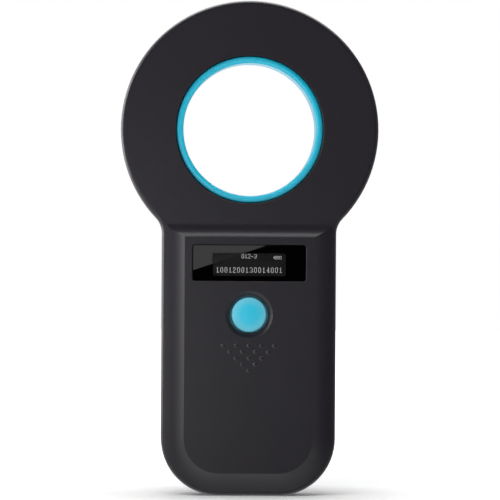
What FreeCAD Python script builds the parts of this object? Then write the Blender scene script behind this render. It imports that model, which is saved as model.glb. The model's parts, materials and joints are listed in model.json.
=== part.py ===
"""Handheld microchip scanner: a ring-shaped reading head on a flat grip, built as it comes apart.

Frame, in millimetres: the scanner stands on the flat end of its grip. +Z runs up the grip to the
reading ring, the display and button face -Y, the screwed rear cover faces +Y, and X runs across.
The origin is the middle of the base. Two half shells meet at SPLIT_Y and clamp a coloured ring
liner between them. A circuit board hangs from posts in the front shell with the display, the scan
button's switch, the sounder and the charging socket on it. The antenna coil sits in a former
around the liner, and the battery pouch is taped inside the rear shell.
"""
import FreeCAD, Part

import math
import os

from FreeCAD import Vector

# ---------------------------------------------------------------- driving dimensions
HEAD_R = 41.2            # outer radius of the reading head
HEAD_Z = 117.1           # height of the head's centre
GRIP_HALF_W = 27.85      # half the grip's width
FOOT_R = 18.4            # corner radius at the foot of the grip
NECK_R = 7.0             # fillet where grip and head meet
FRONT_Y = -10.2          # front face of the head
REAR_Y = 7.2             # rear face of the head
PANEL_Y = -12.7          # raised control panel on the grip
BACK_Y = 13.5            # flat of the grip's back
SPLIT_Y = -1.5           # parting plane of the two shells
WALL = 1.9               # shell wall

FRONT_EDGE_R = 1.2       # rounding of the front rim
REAR_EDGE_R = 2.5        # rounding of the rear rim
GRIP_BACK_R = 8.0        # rounding of the grip's back

PANEL_HALF_W = 20.6      # control panel, from ridge to ridge
PANEL_TOP_Z = 82.75
FLANK_STRIP = 1.3        # flat strip left between a flank and the outline
FLANK_FOOT_TILT = 12.0   # degrees, where a side flank runs out
RAMP_LENGTH = 4.4        # run of the ramp between panel and head
BACK_RAMP_LOW_Z = 74.0   # rear ramp, from the grip's back to the head
BACK_RAMP_HIGH_Z = 88.0

RING_BORE_R = 21.2       # clear radius through the head
RING_OUTER_R = 23.55     # liner, outside
RING_CREST_R = 22.2      # crest of the liner's two rounded lips
RING_FLANGE_R = 25.1     # liner's flange, caught between the shells
RING_FLANGE_HALF = 0.8
SHELL_HOLE_R = 23.65
SHELL_HOLE_CHAMFER = 0.12
SHELL_TUBE_R = 25.2

LIP_INSET = 1.0          # front shell's locating lip
LIP_HEIGHT = 1.0
REBATE_INSET = 0.92
REBATE_DEPTH = 1.12
SEAM_CHAMFER = 0.25

LENS_W = 36.1
LENS_H = 11.5
LENS_Z = 74.45
LENS_THICK = 1.0
LENS_CORNER_R = 0.8
LENS_GAP = 0.1           # round the lens, in its recess
LENS_SUNK = 0.05         # lens face below the panel
LENS_RIM_CHAMFER = 0.2   # on the edge of its recess
MASK_GAP = 0.02          # glue line between lens and mask
MASK_THICK = 0.13
VIEW_W = 23.4            # clear view left by the mask
VIEW_H = 7.45
VIEW_Z = 73.9
WINDOW_W = 25.6          # opening through the shell
WINDOW_H = 8.9

OLED_W = 30.0
OLED_H = 11.5
OLED_THICK = 1.45
OLED_Z = 73.6

BUTTON_Z = 57.95
CAP_R = 5.55
CAP_RIM_R = 0.8          # rounding of the cap's rim
CAP_CROWN_TILT = 26.0    # degrees, where the domed top runs into the rim
CAP_TOP_Y = -13.5
CAP_SKIRT_Y = -8.6
CAP_FLANGE_THICK = 0.6
CAP_FLANGE_R = 6.7
BUTTON_HOLE_R = 6.2
DISH_R = 7.6             # shallow dish round the button
DISH_FLOOR_R = 6.4
DISH_DEPTH = 0.9

DOT_PITCH_X = 4.08
DOT_PITCH_Z = 2.0
DOT_TOP_Z = 48.0
DOT_ROWS = 5
DOT_R = 0.68
DOT_HEIGHT = 0.32

PCB_FRONT_Y = -4.3
PCB_THICK = 1.6
PCB_HALF_W = 22.3
PCB_LOW_Z = 2.4
PCB_HIGH_Z = 78.4
PCB_FOOT_R = 14.0

SCREW_CIRCLE_R = 36.0    # the head's four case screws
FOOT_SCREW_X = 17.0
FOOT_SCREW_Z = 12.0
SCREW_SEAT_Y = 5.0
SCREW_HEAD_R = 2.3
SCREW_HEAD_H = 1.5
SCREW_R = 1.3
SCREW_ROOT_R = 1.0
SCREW_PITCH = 0.95
SCREW_TURNS = 10
COUNTERBORE_R = 2.6
POST_R = 2.7

PCB_SCREW_X = 19.3
PCB_SCREW_ZS = (72.0, 33.0)

COIL_FORMER_IN_R = 25.6
COIL_IN_R = 26.4
COIL_OUT_R = 29.3
COIL_FORMER_OUT_R = 30.3
COIL_FORMER_HALF = 3.8
COIL_CHEEK = 0.8

USB_Z = 0.4              # mouth of the charging socket
USB_DEPTH = 5.6
USB_W = 7.5
USB_H = 2.5
USB_SHELL = 0.25
USB_BACK = 0.4
PORT_CLEAR = 0.3

BATTERY_HALF_W = 17.0
BATTERY_LOW_Z = 20.0
BATTERY_HIGH_Z = 64.0
BATTERY_THICK = 6.0
TAPE_THICK = 0.9

LABEL_W = 33.0
LABEL_H = 42.0
LABEL_Z = 44.0
LABEL_DEPTH = 0.25
LABEL_THICK = 0.2

PCB_BACK_Y = PCB_FRONT_Y + PCB_THICK
FLOOR_Y = FRONT_Y + WALL           # inside of the head's front wall
PANEL_FLOOR_Y = PANEL_Y + WALL     # inside of the control panel
REAR_FLOOR_Y = REAR_Y - WALL       # inside of the head's rear wall
BACK_FLOOR_Y = BACK_Y - WALL       # inside of the grip's back
RIDGE_OFFSET = GRIP_HALF_W - PANEL_HALF_W

X_AXIS = Vector(1, 0, 0)
Y_AXIS = Vector(0, 1, 0)
Z_AXIS = Vector(0, 0, 1)


# ---------------------------------------------------------------- drawing helpers
def xz(x, z, y=0.0):
    """A point given by its place in a front view, and its depth."""
    return Vector(x, y, z)


def line(a, b):
    return Part.makeLine(a, b)


def arc(a, mid, b):
    return Part.Arc(a, mid, b).toShape()


def prism(wire, y_from, y_to):
    """The solid that a closed front-view wire sweeps from one depth to another."""
    face = Part.Face(wire)
    face.translate(Vector(0, y_from - wire.BoundBox.YMin, 0))
    return face.extrude(Vector(0, y_to - y_from, 0))


def box(x0, x1, y0, y1, z0, z1):
    return Part.makeBox(x1 - x0, y1 - y0, z1 - z0, Vector(x0, y0, z0))


def rod(x, z, radius, y_from, y_to):
    """A cylinder along Y."""
    return Part.makeCylinder(radius, y_to - y_from, Vector(x, y_from, z), Y_AXIS)


def rounded_plate(width, height, z_mid, corner, y_from, y_to, x_mid=0.0):
    """A plate with rounded corners, seen from the front."""
    x = width / 2 - corner
    z = height / 2 - corner
    q = corner * math.sqrt(0.5)
    w, h = width / 2, height / 2
    edges = [
        line(xz(-x, -h), xz(x, -h)),
        arc(xz(x, -h), xz(x + q, -z - q), xz(w, -z)),
        line(xz(w, -z), xz(w, z)),
        arc(xz(w, z), xz(x + q, z + q), xz(x, h)),
        line(xz(x, h), xz(-x, h)),
        arc(xz(-x, h), xz(-x - q, z + q), xz(-w, z)),
        line(xz(-w, z), xz(-w, -z)),
        arc(xz(-w, -z), xz(-x - q, -z - q), xz(-x, -h)),
    ]
    plate = prism(Part.Wire(edges), y_from, y_to)
    plate.translate(Vector(x_mid, 0, z_mid))
    return plate


def turned(points):
    """A solid of revolution about the Y axis through the origin, from (radius, y) points."""
    ring = [Vector(r, y, 0) for r, y in points]
    wire = Part.makePolygon(ring + [ring[0]])
    return Part.Face(wire).revolve(Vector(0, 0, 0), Y_AXIS, 360)


def moved(shape, x=0.0, y=0.0, z=0.0):
    copy = shape.copy()
    copy.translate(Vector(x, y, z))
    return copy


def mirrored(shape):
    """The shape and its mirror image across the middle plane."""
    return [shape, shape.mirror(Vector(0, 0, 0), X_AXIS)]


def joined(shapes):
    """One solid from overlapping ones, with its seams removed."""
    first, rest = shapes[0], shapes[1:]
    return first.fuse(rest).removeSplitter() if rest else first


def group(shapes):
    """Separate solids that share one node."""
    return Part.makeCompound([s for shape in shapes for s in shape.Solids])


def bent_wire(points, radius):
    """A round lead along straight runs joined by tangent arcs as large as the runs allow."""
    edges = []
    start = points[0]
    for before, corner, after in zip(points, points[1:], points[2:]):
        run_in, run_out = corner - before, after - corner
        turn = run_in.getAngle(run_out)
        reach = 0.45 * min(run_in.Length, run_out.Length)
        bend = reach / math.tan(turn / 2)
        unit_in = run_in * (1 / run_in.Length)
        unit_out = run_out * (1 / run_out.Length)
        a, b = corner - unit_in * reach, corner + unit_out * reach
        inward = unit_out - unit_in
        inward.normalize()
        depth = bend / math.cos(turn / 2) - bend
        edges.append(line(start, a))
        edges.append(arc(a, corner + inward * depth, b))
        start = b
    edges.append(line(start, points[-1]))
    path = Part.Wire(edges)
    heading = points[1] - points[0]
    section = Part.Wire([Part.Circle(points[0], heading, radius).toShape()])
    lead = path.makePipeShell([section], True, True)
    expected = math.pi * radius ** 2 * path.Length
    if abs(lead.Volume - expected) > 0.02 * expected:
        raise ValueError(f"lead volume {lead.Volume:.3f} is not {expected:.3f}")
    return lead


# ---------------------------------------------------------------- outlines
def outline(inset):
    """The scanner's whole outline, moved inwards: foot, grip sides, neck fillets and head."""
    w, foot, head = GRIP_HALF_W - inset, FOOT_R - inset, HEAD_R - inset
    neck_x = GRIP_HALF_W + NECK_R
    neck_z = HEAD_Z - math.sqrt((HEAD_R + NECK_R) ** 2 - neck_x ** 2)
    foot_x = GRIP_HALF_W - FOOT_R
    q = math.sqrt(0.5)
    bearing = math.atan2(neck_z - HEAD_Z, neck_x)       # from the head's centre to the neck's
    meet = xz(head * math.cos(bearing), HEAD_Z + head * math.sin(bearing))
    halfway = (bearing + math.pi + math.pi) / 2
    neck = NECK_R + inset
    neck_mid = xz(neck_x + neck * math.cos(halfway), neck_z + neck * math.sin(halfway))

    def flip(p):
        return Vector(-p.x, p.y, p.z)

    right = [
        (xz(foot_x, inset), xz(foot_x + foot * q, FOOT_R - foot * q), xz(w, FOOT_R)),
        (xz(w, neck_z), neck_mid, meet),
    ]
    edges = [line(xz(-foot_x, inset), xz(foot_x, inset))]
    edges.append(arc(*right[0]))
    edges.append(line(xz(w, FOOT_R), xz(w, neck_z)))
    edges.append(arc(*right[1]))
    edges.append(arc(meet, xz(0, HEAD_Z + head), flip(meet)))
    edges.append(arc(*[flip(p) for p in reversed(right[1])]))
    edges.append(line(xz(-w, neck_z), xz(-w, FOOT_R)))
    edges.append(arc(*[flip(p) for p in reversed(right[0])]))
    return Part.Wire(edges)


def grip_outline(half_w, low_z, high_z, corner):
    """A grip-shaped outline: rounded at the foot and square at the top."""
    x = half_w - corner
    z = low_z + corner
    q = corner * math.sqrt(0.5)
    return Part.Wire([
        line(xz(-x, low_z), xz(x, low_z)),
        arc(xz(x, low_z), xz(x + q, z - q), xz(half_w, z)),
        line(xz(half_w, z), xz(half_w, high_z)),
        line(xz(half_w, high_z), xz(-half_w, high_z)),
        line(xz(-half_w, high_z), xz(-half_w, z)),
        arc(xz(-half_w, z), xz(-x - q, z - q), xz(-x, low_z)),
    ])


def edges_at(solid, y):
    """The solid's edges that lie in the plane at that depth."""
    return [
        e for e in solid.Edges
        if abs(e.BoundBox.YMin - y) < 1e-4 and abs(e.BoundBox.YMax - y) < 1e-4]


# ---------------------------------------------------------------- the casing's outer form
def slab():
    """The plate that head and grip share, with its rims rounded."""
    body = prism(outline(0.0), FRONT_Y, REAR_Y)
    body = body.makeFillet(FRONT_EDGE_R, edges_at(body, FRONT_Y))
    return body.makeFillet(REAR_EDGE_R, edges_at(body, REAR_Y))


def hollow_arc(rise, run, foot_tilt):
    """A concave flank from its ridge to its foot, as three (distance, height) points."""
    tilt = math.radians(foot_tilt)
    top_tilt = 2 * math.atan2(rise, run) - tilt
    radius = run / (math.sin(top_tilt) - math.sin(tilt))
    middle = (top_tilt + tilt) / 2
    centre = run + radius * math.sin(tilt), radius * math.cos(tilt)
    mid = centre[0] - radius * math.sin(middle), centre[1] - radius * math.cos(middle)
    return (0.0, rise), mid, (run, 0.0)


def control_panel():
    """The raised panel: hollow flanks down both sides and round the foot, and a ramp to the head."""
    rise = FRONT_Y - PANEL_Y
    run = RIDGE_OFFSET - FLANK_STRIP
    ramp_z = PANEL_TOP_Z + RAMP_LENGTH
    block = prism(
        grip_outline(GRIP_HALF_W - FLANK_STRIP, FLANK_STRIP, ramp_z, FOOT_R - FLANK_STRIP),
        PANEL_Y, SPLIT_Y)
    over = 3.0

    def waste(rise, run, tilt):
        """Outline of what is cut away above a flank, as (distance, height) points."""
        ridge, mid, foot = hollow_arc(rise, run, tilt)
        return [ridge, mid, foot, (run + over, 0.0), (run + over, rise + over), (0.0, rise + over)]

    def face(points, place):
        p = [place(d, FRONT_Y - h) for d, h in points]
        edges = [arc(p[0], p[1], p[2])]
        edges += [line(a, b) for a, b in zip(p[2:], p[3:] + [p[0]])]
        return Part.Face(Part.Wire(edges))

    side = waste(rise, run, FLANK_FOOT_TILT)
    foot_x = GRIP_HALF_W - FOOT_R
    side_face = face(side, lambda d, y: Vector(PANEL_HALF_W + d, y, FOOT_R))
    foot_face = face(side, lambda d, y: Vector(-foot_x, y, RIDGE_OFFSET - d))
    cutters = mirrored(side_face.extrude(Vector(0, 0, ramp_z)))
    cutters += mirrored(side_face.revolve(Vector(foot_x, 0, FOOT_R), Y_AXIS, 90))
    cutters.append(foot_face.extrude(Vector(2 * foot_x, 0, 0)))
    ramp = waste(rise, RAMP_LENGTH, 0.0)
    ramp_face = face(ramp, lambda d, y: Vector(-GRIP_HALF_W - over, y, PANEL_TOP_Z + d))
    cutters.append(ramp_face.extrude(Vector(2 * (GRIP_HALF_W + over), 0, 0)))
    for cutter in cutters:
        block = block.cut(cutter)
    return block.removeSplitter()


def grip_back(inset):
    """The full rounded back of the grip, with a curved ramp down to the head."""
    half_w = GRIP_HALF_W - inset
    top_z = BACK_RAMP_HIGH_Z + 2
    block = prism(grip_outline(half_w, inset, top_z, FOOT_R - inset), SPLIT_Y, BACK_Y - inset)
    low_z, high_z = BACK_RAMP_LOW_Z - inset / 2, BACK_RAMP_HIGH_Z - inset / 2
    back, rear = BACK_Y - inset, REAR_Y - inset
    half_run, half_drop = (high_z - low_z) / 2, (back - rear) / 2
    bend = 2 * math.atan2(half_drop, half_run)
    radius = half_run / math.sin(bend)
    mid_z, mid_y = low_z + half_run, back - half_drop
    lean = math.sin(bend / 2) * radius
    sink = radius * (1 - math.cos(bend / 2))
    over = 5

    def at(y, z):
        return Vector(-half_w - over, y, z)

    wire = Part.Wire([
        arc(at(back, low_z), at(back - sink, low_z + lean), at(mid_y, mid_z)),
        arc(at(mid_y, mid_z), at(rear + sink, high_z - lean), at(rear, high_z)),
        line(at(rear, high_z), at(rear, top_z + over)),
        line(at(rear, top_z + over), at(back + over, top_z + over)),
        line(at(back + over, top_z + over), at(back + over, low_z)),
        line(at(back + over, low_z), at(back, low_z)),
    ])
    block = block.cut(Part.Face(wire).extrude(Vector(2 * (half_w + over), 0, 0)))
    return block.makeFillet(GRIP_BACK_R - inset, back_rim(block, rear, top_z))


def back_rim(block, rear, top_z):
    """The edges all round the back and the ramp, but not the block's upper end."""
    rim = []
    for edge in block.Edges:
        box_of = edge.BoundBox
        outside = box_of.YMin > rear - 0.01 and box_of.ZMax < top_z + 0.01
        along_x = box_of.XLength > 0.5 and box_of.ZLength < 0.01
        upper = along_x and box_of.ZMin > FOOT_R
        if outside and not upper:
            rim.append(edge)
    return rim


def screw_places():
    """Front-view places of the six case screws: four round the head and two at the foot."""
    q = SCREW_CIRCLE_R * math.sqrt(0.5)
    head = [(sx * q, HEAD_Z + sz * q) for sx in (-1, 1) for sz in (-1, 1)]
    foot = [(sx * FOOT_SCREW_X, FOOT_SCREW_Z) for sx in (-1, 1)]
    return head, foot


def board_screw_places():
    return [(sx * PCB_SCREW_X, z) for sx in (-1, 1) for z in PCB_SCREW_ZS]


def port_cut():
    """The slot through both shells round the charging socket's mouth, flared outside."""
    mid_y = PCB_BACK_Y + USB_H / 2
    w, h, flare = USB_W / 2 + PORT_CLEAR, USB_H / 2 + PORT_CLEAR, 0.5

    def oblong(grow, z):
        x, y = w + grow, h + grow
        corners = [Vector(-x, mid_y - y, z), Vector(x, mid_y - y, z), Vector(x, mid_y + y, z)]
        corners.append(Vector(-x, mid_y + y, z))
        return Part.makePolygon(corners + corners[:1])

    slot = Part.Face(oblong(0.0, -1.0)).extrude(Vector(0, 0, WALL + 5))
    return slot.fuse(Part.makeLoft([oblong(flare, 0.0), oblong(0.0, flare)], True, True))


# ---------------------------------------------------------------- shells
def front_shell():
    keep = box(-60, 60, PANEL_Y - 5, SPLIT_Y, -5, 170)
    skin = joined([slab(), control_panel()]).common(keep)
    skin = skin.makeChamfer(SEAM_CHAMFER, edges_at(skin, SPLIT_Y))
    ring_core = rod(0, HEAD_Z, SHELL_TUBE_R, PANEL_Y, SPLIT_Y - RING_FLANGE_HALF - 0.05)
    room = prism(outline(WALL), FLOOR_Y, SPLIT_Y + 1).cut(ring_core)
    panel_room = prism(
        grip_outline(PANEL_HALF_W - 0.4, RIDGE_OFFSET + 1.4, PANEL_TOP_Z - 1.0, FOOT_R - RIDGE_OFFSET - 0.8),
        PANEL_FLOOR_Y, FLOOR_Y + 1)
    shell = skin.cut([room, panel_room])
    lip = prism(outline(LIP_INSET), SPLIT_Y - 1, SPLIT_Y + LIP_HEIGHT)
    lip = lip.cut(prism(outline(WALL), SPLIT_Y - 2, SPLIT_Y + LIP_HEIGHT + 1))
    head, foot = screw_places()
    posts = [rod(x, z, POST_R, FLOOR_Y - 0.5, SPLIT_Y) for x, z in head]
    posts += [rod(x, z, POST_R, PANEL_FLOOR_Y - 0.5, SPLIT_Y) for x, z in foot]
    posts += [rod(x, z, 2.2, PANEL_FLOOR_Y - 0.5, PCB_FRONT_Y) for x, z in board_screw_places()]
    collar = rod(0, BUTTON_Z, BUTTON_HOLE_R + 1.2, PANEL_FLOOR_Y - 0.5, PANEL_FLOOR_Y + 1.3)
    ribs = coil_ribs(FLOOR_Y - 0.5, SPLIT_Y - COIL_FORMER_HALF)
    shell = joined([shell, lip, collar] + posts + ribs)
    holes = [rod(x, z, SCREW_R, SPLIT_Y - 6.0, SPLIT_Y + 1) for x, z in head + foot]
    holes += [rod(x, z, 0.8, PCB_FRONT_Y - 4.0, PCB_FRONT_Y + 1) for x, z in board_screw_places()]
    holes.append(rod(0, HEAD_Z, SHELL_HOLE_R, PANEL_Y - 1, SPLIT_Y + 1))
    holes.append(ring_hole_chamfer(FRONT_Y, -1))
    holes.append(port_cut())
    holes.append(rounded_plate(
        LENS_W + 2 * LENS_GAP, LENS_H + 2 * LENS_GAP, LENS_Z, LENS_CORNER_R + LENS_GAP,
        PANEL_Y - 1, PANEL_Y + LENS_SUNK + LENS_THICK + MASK_GAP + MASK_THICK))
    holes.append(rounded_plate(WINDOW_W, WINDOW_H, VIEW_Z, 0.8, PANEL_Y, PANEL_FLOOR_Y + 1))
    holes.append(rod(0, BUTTON_Z, BUTTON_HOLE_R, PANEL_Y - 1, PANEL_FLOOR_Y + 3))
    dish = turned([
        (0, PANEL_Y - 0.5), (DISH_R + 0.3, PANEL_Y - 0.5), (DISH_R, PANEL_Y),
        (DISH_FLOOR_R, PANEL_Y + DISH_DEPTH), (0, PANEL_Y + DISH_DEPTH)])
    holes.append(moved(dish, z=BUTTON_Z))
    shell = shell.cut(holes)
    reach = LENS_H / 2 + 1
    recess_rim = [
        edge for edge in edges_at(shell, PANEL_Y)
        if edge.BoundBox.ZMin > LENS_Z - reach and edge.BoundBox.ZMax < LENS_Z + reach]
    shell = shell.makeChamfer(LENS_RIM_CHAMFER, recess_rim)
    return joined([shell] + grip_dots())


def grip_dots():
    """Raised dots below the button, in a triangle that points down."""
    ball_r = (DOT_R ** 2 + DOT_HEIGHT ** 2) / (2 * DOT_HEIGHT)
    dots = []
    for row in range(DOT_ROWS):
        count = DOT_ROWS - row
        for i in range(count):
            x = (i - (count - 1) / 2) * DOT_PITCH_X
            z = DOT_TOP_Z - row * DOT_PITCH_Z
            ball = Part.makeSphere(ball_r, Vector(x, PANEL_Y - DOT_HEIGHT + ball_r, z))
            dots.append(ball.common(box(x - 2, x + 2, PANEL_Y - 1, PANEL_Y + 0.4, z - 2, z + 2)))
    return dots


def coil_ribs(y_from, y_to):
    """Radial ribs that hold the coil former off the head's wall."""
    ribs = []
    for i in range(8):
        angle = math.radians(22.5 + 45 * i)
        rib = box(SHELL_TUBE_R - 0.3, COIL_FORMER_OUT_R + 1.5, y_from, y_to, -0.5, 0.5)
        rib.rotate(Vector(0, 0, 0), Y_AXIS, -math.degrees(angle))
        rib.translate(Vector(0, 0, HEAD_Z))
        ribs.append(rib)
    return ribs


def ring_hole_chamfer(y, way):
    """A cone that breaks the edge of the shell's ring hole."""
    c = SHELL_HOLE_CHAMFER
    outer, inner = y + way, y - way * (c + 1)
    cone = turned([(0, outer), (SHELL_HOLE_R + c + 1, outer), (SHELL_HOLE_R - 1, inner), (0, inner)])
    return moved(cone, z=HEAD_Z)


def rear_shell():
    keep = box(-60, 60, SPLIT_Y, BACK_Y + 5, -5, 170)
    skin = joined([slab(), grip_back(0.0)]).common(keep)
    skin = skin.makeChamfer(SEAM_CHAMFER, edges_at(skin, SPLIT_Y))
    ring_core = rod(0, HEAD_Z, SHELL_TUBE_R, SPLIT_Y + RING_FLANGE_HALF + 0.05, BACK_Y)
    room = prism(outline(WALL), SPLIT_Y - 1, REAR_FLOOR_Y).cut(ring_core)
    rebate = prism(outline(REBATE_INSET), SPLIT_Y - 1, SPLIT_Y + REBATE_DEPTH)
    rebate = rebate.cut(ring_core)
    shell = skin.cut([room, grip_back(WALL), rebate])
    head, foot = screw_places()
    posts = [rod(x, z, POST_R, SPLIT_Y + 0.05, REAR_FLOOR_Y + 0.5) for x, z in head]
    posts += [rod(x, z, POST_R + 0.9, SCREW_SEAT_Y - 1.2, REAR_FLOOR_Y + 0.5) for x, z in head]
    posts += [rod(x, z, POST_R, SPLIT_Y + 0.05, BACK_FLOOR_Y) for x, z in foot]
    posts += [rod(x, z, POST_R + 1.1, SCREW_SEAT_Y - 1.2, BACK_FLOOR_Y + 0.5) for x, z in foot]
    ribs = coil_ribs(SPLIT_Y + COIL_FORMER_HALF, REAR_FLOOR_Y + 0.5)
    rail_in, rail_out = BATTERY_HALF_W + 0.4, BATTERY_HALF_W + 1.6
    rail = box(rail_in, rail_out, BACK_FLOOR_Y - 5.0, BACK_FLOOR_Y + 0.5, 26, 58)
    stop = box(-9, 9, BACK_FLOOR_Y - 5.0, BACK_FLOOR_Y + 0.5, BATTERY_LOW_Z - 1.6, BATTERY_LOW_Z - 0.4)
    shell = joined([shell, stop] + mirrored(rail) + posts + ribs)
    holes = [rod(x, z, SCREW_R + 0.15, SPLIT_Y - 1, BACK_Y + 1) for x, z in head + foot]
    holes += [rod(x, z, COUNTERBORE_R, SCREW_SEAT_Y, BACK_Y + 1) for x, z in head + foot]
    holes.append(rod(0, HEAD_Z, SHELL_HOLE_R, SPLIT_Y - 1, BACK_Y + 1))
    holes.append(ring_hole_chamfer(REAR_Y, 1))
    holes.append(port_cut())
    holes.append(rounded_plate(LABEL_W, LABEL_H, LABEL_Z, 2.0, BACK_Y - LABEL_DEPTH, BACK_Y + 1))
    return shell.cut(holes)


def ring_liner():
    """The coloured ring: a plain bore between two rounded lips, and a flange the shells clamp."""
    bore, crest, out = RING_BORE_R, RING_CREST_R, RING_OUTER_R
    inner_r, outer_r = crest - bore, out - crest
    inner_q, outer_q = inner_r * math.sqrt(0.5), outer_r * math.sqrt(0.5)
    low, high = SPLIT_Y - RING_FLANGE_HALF, SPLIT_Y + RING_FLANGE_HALF

    def at(radius, y):
        return Vector(radius, y, 0)

    def lip(y, way):
        """From the outside over the crest into the bore; way is +1 where the body lies towards +Y."""
        outer_mid = at(crest + outer_q, y + way * (outer_r - outer_q))
        inner_mid = at(crest - inner_q, y + way * (inner_r - inner_q))
        return [
            arc(at(out, y + way * outer_r), outer_mid, at(crest, y)),
            arc(at(crest, y), inner_mid, at(bore, y + way * inner_r)),
        ]

    edges = lip(FRONT_Y, 1) + lip(REAR_Y, -1) + [
        line(at(bore, FRONT_Y + inner_r), at(bore, REAR_Y - inner_r)),
        line(at(out, FRONT_Y + outer_r), at(out, low)),
        line(at(out, low), at(RING_FLANGE_R, low)),
        line(at(RING_FLANGE_R, low), at(RING_FLANGE_R, high)),
        line(at(RING_FLANGE_R, high), at(out, high)),
        line(at(out, high), at(out, REAR_Y - outer_r)),
    ]
    profile = Part.Wire(Part.sortEdges(edges)[0])
    liner = Part.Face(profile).revolve(Vector(0, 0, 0), Y_AXIS, 360)
    return moved(liner, z=HEAD_Z)


# ---------------------------------------------------------------- display
LENS_FRONT_Y = PANEL_Y + LENS_SUNK
LENS_BACK_Y = LENS_FRONT_Y + LENS_THICK
MASK_FRONT_Y = LENS_BACK_Y + MASK_GAP
OLED_FRONT_Y = PANEL_FLOOR_Y + 0.1
OLED_BACK_Y = OLED_FRONT_Y + OLED_THICK


def display_lens():
    lens = rounded_plate(LENS_W, LENS_H, LENS_Z, LENS_CORNER_R, LENS_FRONT_Y, LENS_BACK_Y)
    return lens.makeChamfer(0.15, edges_at(lens, LENS_FRONT_Y))


def display_mask():
    """The black printed border behind the lens, which also glues it to its ledge."""
    mask = rounded_plate(LENS_W, LENS_H, LENS_Z, LENS_CORNER_R, MASK_FRONT_Y, MASK_FRONT_Y + MASK_THICK)
    return mask.cut(rounded_plate(VIEW_W, VIEW_H, VIEW_Z, 0.9, MASK_FRONT_Y - 1, MASK_FRONT_Y + 1))


def oled_panel():
    """Two bonded sheets of glass: the lower one keeps a bare ledge for the ribbon."""
    ledge = 2.4
    half = OLED_THICK / 2
    low = OLED_Z - OLED_H / 2
    back = rounded_plate(OLED_W, OLED_H, OLED_Z, 0.2, OLED_FRONT_Y + half, OLED_BACK_Y)
    front = box(-OLED_W / 2, OLED_W / 2, OLED_FRONT_Y, OLED_FRONT_Y + half, low + ledge, low + OLED_H)
    return joined([back, front])


def oled_ribbon():
    """Flat cable from the panel's ledge, folded down past the holder and back up onto the board."""
    half_w, gauge, bend = 6.0, 0.12, 1.0
    ledge_z = OLED_Z - OLED_H / 2
    bend_z = ledge_z - 0.4
    y0, y1 = OLED_FRONT_Y + OLED_THICK / 2 - gauge, PCB_FRONT_Y

    def at(y, z):
        return Vector(-half_w, y, z)

    def strip(r):
        """Outline of the folded cable's outer or inner side, by its bend radius."""
        k = r * math.sqrt(0.5)
        a, b = y0 + bend, y1 - bend
        return [
            line(at(a - r, ledge_z + 2.2), at(a - r, bend_z)),
            arc(at(a - r, bend_z), at(a - k, bend_z - k), at(a, bend_z - r)),
            line(at(a, bend_z - r), at(b, bend_z - r)),
            arc(at(b, bend_z - r), at(b + k, bend_z - k), at(b + r, bend_z)),
            line(at(b + r, bend_z), at(b + r, bend_z + 1.3)),
        ]

    outer, inner = strip(bend), strip(bend - gauge)
    ends = [
        line(outer[0].Vertexes[0].Point, inner[0].Vertexes[0].Point),
        line(outer[-1].Vertexes[-1].Point, inner[-1].Vertexes[-1].Point),
    ]
    wire = Part.Wire(Part.sortEdges(outer + inner + ends)[0])
    return Part.Face(wire).extrude(Vector(2 * half_w, 0, 0))


def display_holder():
    """The plastic frame that stands on the board and carries the panel."""
    low, high = OLED_Z - OLED_H / 2, OLED_Z + OLED_H / 2
    half = OLED_W / 2
    rim = 0.9
    y0, y1 = OLED_BACK_Y + 0.02, PCB_FRONT_Y
    frame = box(-half - rim, half + rim, y0 - 0.7, y1, low + 1.0, high + rim)
    frame = frame.cut(box(-half - 0.08, half + 0.08, y0 - 2, y0, low - 1, high + 0.08))
    pocket = box(-half + 2.2, half - 2.2, y0 + 1.0, y1 + 1, low + 3.0, high - 1.4)
    light = box(-half + 4, half - 4, y0 - 1, y0 + 2, low + 4.0, high - 2.4)
    return frame.cut([pocket, light])


# ---------------------------------------------------------------- scan button and its switch
SWITCH_HALF = 6.0
SWITCH_TOP_Y = PCB_FRONT_Y - 3.5
PLUNGER_TOP_Y = PCB_FRONT_Y - 7.3
STEM_HALF = 1.9
WELL_R = 3.6
WELL_FLOOR_Y = PCB_FRONT_Y - 1.0


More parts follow.
